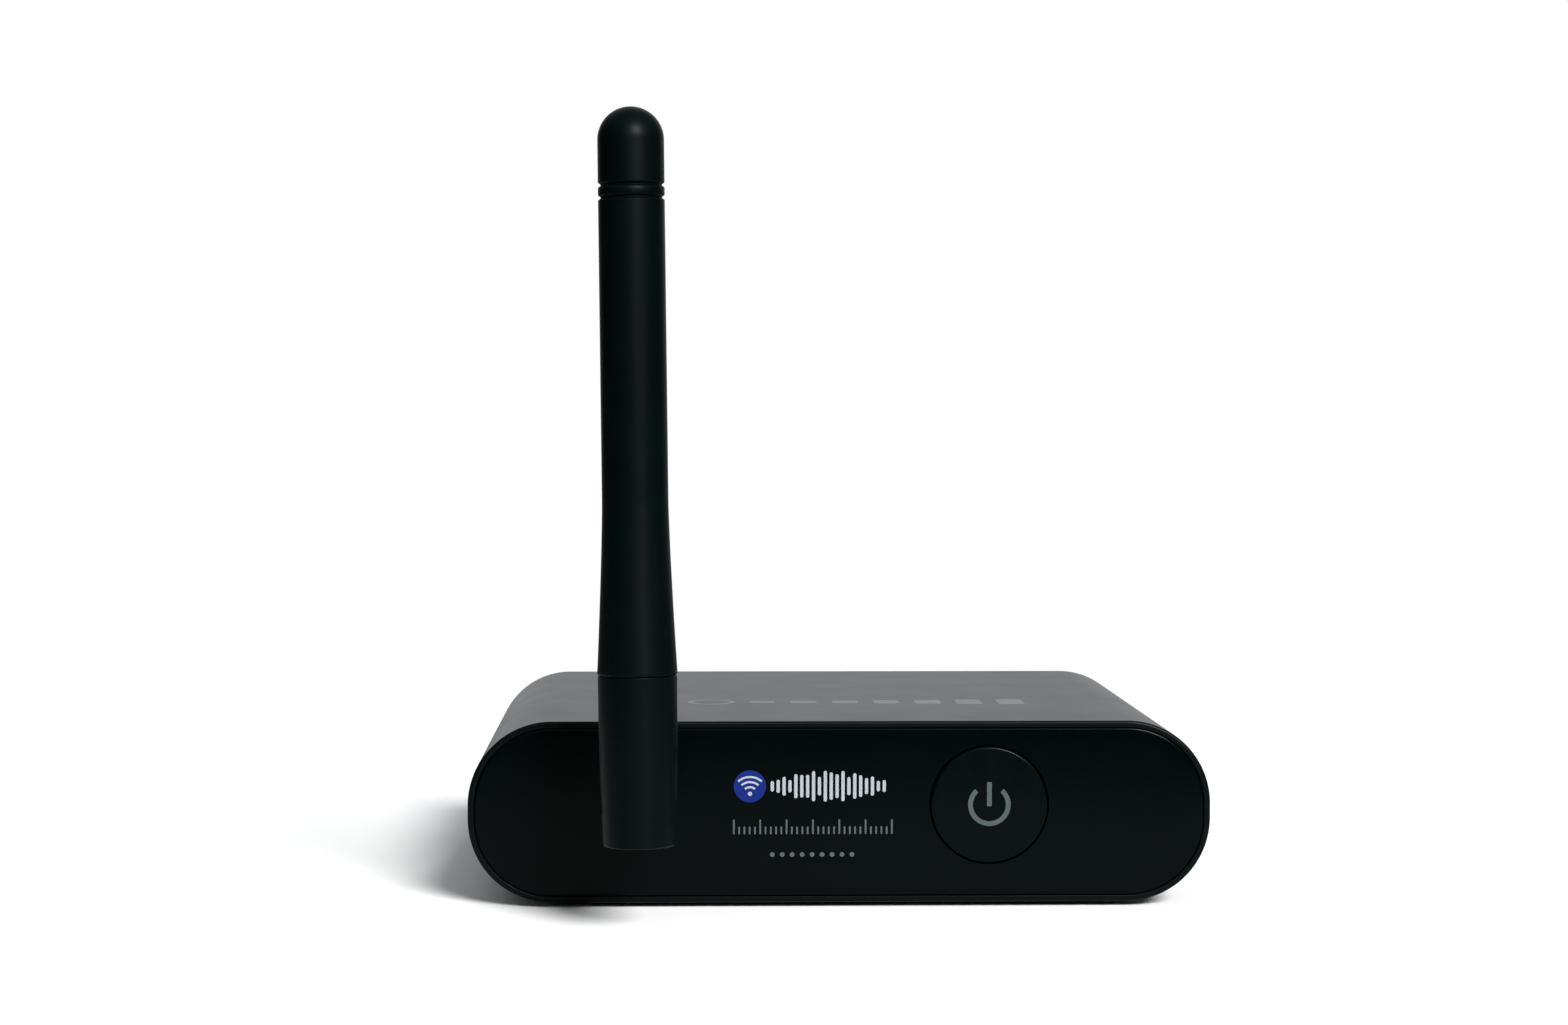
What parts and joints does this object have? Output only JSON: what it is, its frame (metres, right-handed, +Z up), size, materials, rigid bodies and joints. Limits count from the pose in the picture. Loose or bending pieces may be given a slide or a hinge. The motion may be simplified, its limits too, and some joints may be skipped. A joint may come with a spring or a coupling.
{
  "type": "bluetooth audio receiver",
  "caption": "Low rounded audio receiver box with a flush front panel, a round push button and an upright aerial that tilts, swivels and unscrews.",
  "frame": {"origin": "middle of the foot of the bounding box of the whole receiver, aerial included, on the surface it stands on", "axes": "+Z up, +Y from the front panel to the rear sockets, +X to the right as seen from the front"},
  "size_m": [0.095, 0.1108, 0.0999],
  "materials": {
    "case_plastic": "satin-gloss moulded black",
    "panel_acrylic": "polished black with a faint green cast",
    "button_plastic": "smooth black",
    "icon_plastic": "translucent grey light guide",
    "carrier_plastic": "fine-textured black",
    "aerial_plastic": "soft satin black",
    "foot_rubber": "matt black",
    "board_laminate": "green solder mask",
    "chip_epoxy": "moulded epoxy",
    "socket_plastic": "fine-textured black",
    "phono_white": "smooth white",
    "phono_red": "smooth red",
    "insulator": "waxy off-white",
    "lens_red": "clear red lens",
    "led_clear": "clear",
    "cable_jacket": "smooth black jacket",
    "nickel": "bright nickel plate",
    "gold": "gold-plated brass",
    "brass": "plain turned brass",
    "tin": "tinned, satin",
    "steel": "blackened steel"
  },
  "bodies": {
    "root": {"aerial_lead": "cable_jacket", "audio_converter_chip": "chip_epoxy", "capacitor_output_left": "tin", "capacitor_output_right": "tin", "capacitor_supply": "tin", "case_sleeve": "case_plastic", "clock_crystal": "tin", "decoder_chip": "chip_epoxy", "foot_front_left": "foot_rubber", "foot_front_right": "foot_rubber", "foot_rear_left": "foot_rubber", "foot_rear_right": "foot_rubber", "front_carrier": "carrier_plastic", "front_panel": "panel_acrylic", "jack_barrel": "gold", "jack_contact": "brass", "jack_hex_nut": "gold", "jack_insulator": "insulator", "jack_lock_washer": "nickel", "lead_board_plug": "gold", "main_board": "board_laminate", "optical_body": "socket_plastic", "optical_emitter": "lens_red", "phono_barrel_left": "nickel", "phono_barrel_right": "nickel", "phono_block": "socket_plastic", "phono_contact_left": "tin", "phono_contact_right": "tin", "phono_insert_left": "phono_white", "phono_insert_right": "phono_red", "power_inductor": "chip_epoxy", "power_jack_body": "socket_plastic", "power_jack_pin": "nickel", "power_led": "led_clear", "radio_module_board": "board_laminate", "radio_shield_can": "tin", "rear_panel": "carrier_plastic", "rear_screw_left": "steel", "rear_screw_right": "steel", "regulator_chip": "chip_epoxy", "switch_dome": "tin", "switch_housing": "chip_epoxy"},
    "plug": {"plug_barrel": "gold", "plug_insulator": "insulator", "plug_pin": "brass"},
    "coupling_nut": {"coupling_nut": "aerial_plastic", "nut_thread_insert": "brass"},
    "knuckle": {"aerial_knuckle": "aerial_plastic"},
    "aerial": {"aerial_base": "aerial_plastic", "hinge_pin": "steel", "aerial_coax": "cable_jacket", "aerial_mast": "aerial_plastic", "radiator_tube": "brass", "radiator_whip": "brass"},
    "button": {"power_button": "button_plastic", "button_light_guide": "icon_plastic"},
    "plunger": {"switch_plunger": "insulator"},
    "shutter": {"optical_shutter": "socket_plastic"}
  },
  "joints": [
    {"name": "aerial_unscrew", "type": "slide", "parent": "root", "child": "plug", "axis": [0, -1, 0], "range_m": [0, 0.0052]},
    {"name": "nut_turn", "type": "hinge", "parent": "plug", "child": "coupling_nut", "pos_m": [-0.02544, -0.03578, 0.0157], "axis": [0, -1, 0], "range_deg": [0, 2655]},
    {"name": "aerial_swivel", "type": "hinge", "parent": "plug", "child": "knuckle", "pos_m": [-0.02544, -0.05058, 0.0157], "axis": [0, 1, 0], "range_deg": [-90, 90]},
    {"name": "aerial_tilt", "type": "hinge", "parent": "knuckle", "child": "aerial", "pos_m": [-0.02544, -0.05058, 0.0157], "axis": [0.9999, 0, 0.0126], "range_deg": [0, 90]},
    {"name": "button_press", "type": "slide", "parent": "root", "child": "button", "axis": [0, 1, 0], "range_m": [0, 0.0005], "stiffness_N_per_m": 1500, "springref_m": -0.0005},
    {"name": "plunger_press", "type": "slide", "parent": "root", "child": "plunger", "axis": [0, 1, 0], "range_m": [0, 0.0005]},
    {"name": "shutter_swing", "type": "hinge", "parent": "root", "child": "shutter", "pos_m": [0.014, 0.04568, 0.01885], "axis": [-1, 0, 0], "range_deg": [0, 85], "stiffness_Nm_per_rad": 0.0002, "springref_deg": -17.19}
  ],
  "couplings": [
    {"joint": "nut_turn", "follows": "aerial_unscrew", "rad_per_m": 8905.3},
    {"joint": "plunger_press", "follows": "button_press", "ratio": 1}
  ]
}
